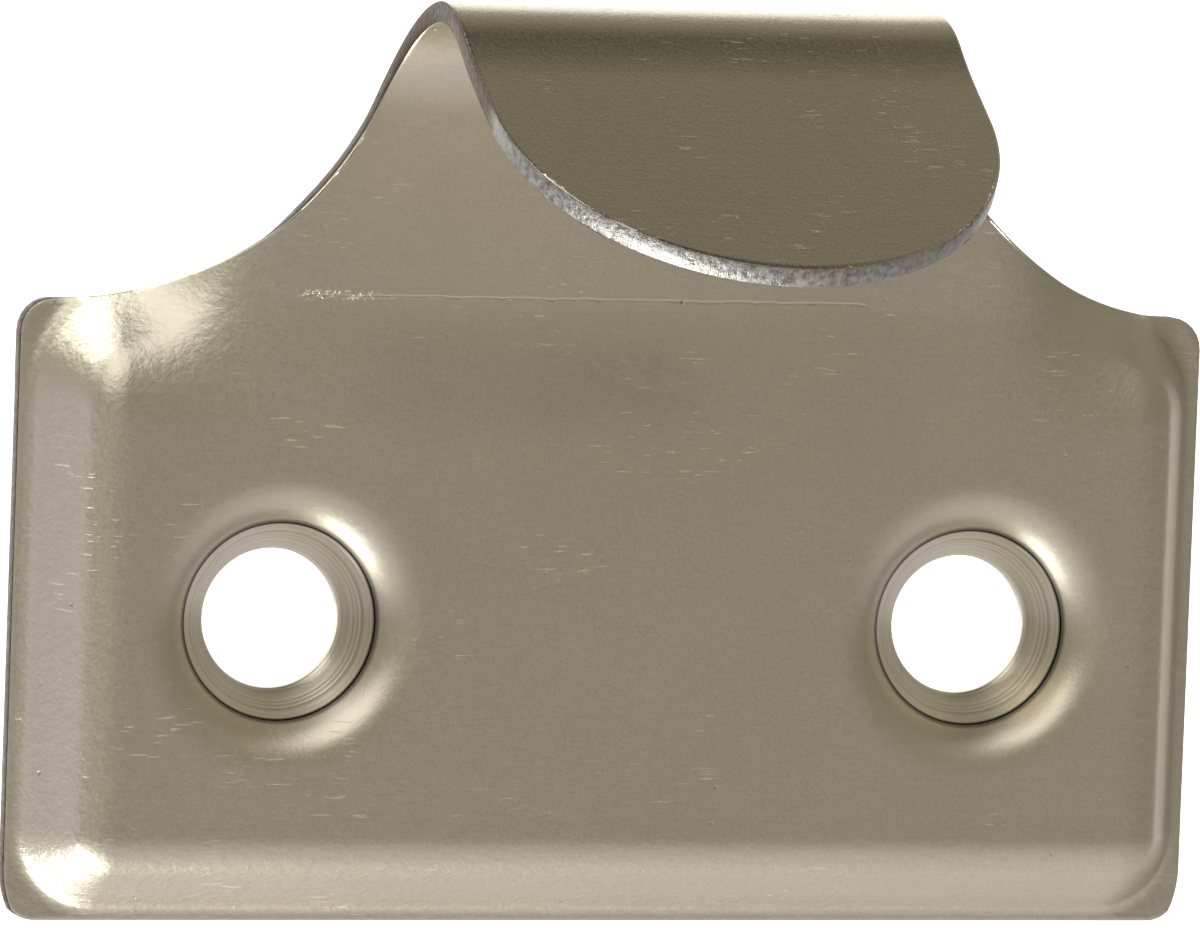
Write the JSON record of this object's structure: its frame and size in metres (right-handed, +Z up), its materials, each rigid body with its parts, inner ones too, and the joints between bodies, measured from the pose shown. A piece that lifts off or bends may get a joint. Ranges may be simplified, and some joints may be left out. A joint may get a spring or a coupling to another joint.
{
  "type": "sash lift",
  "caption": "Pressed sheet-metal hook lift for a sliding sash window: a dished back plate with countersunk screw holes and a neck curled over into a finger hook.",
  "frame": {"origin": "in the plane of the rim's back, midway between the two screw holes", "axes": "+X along the line of the screw holes, -Y out of the front towards the user, +Z up towards the top of the hook"},
  "size_m": [0.0508, 0.0257, 0.0383],
  "materials": {
    "satin_nickel_plate": "satin nickel plating over pressed steel"
  },
  "bodies": {
    "root": {"sash_lift_plate": "satin_nickel_plate"}
  },
  "joints": []
}
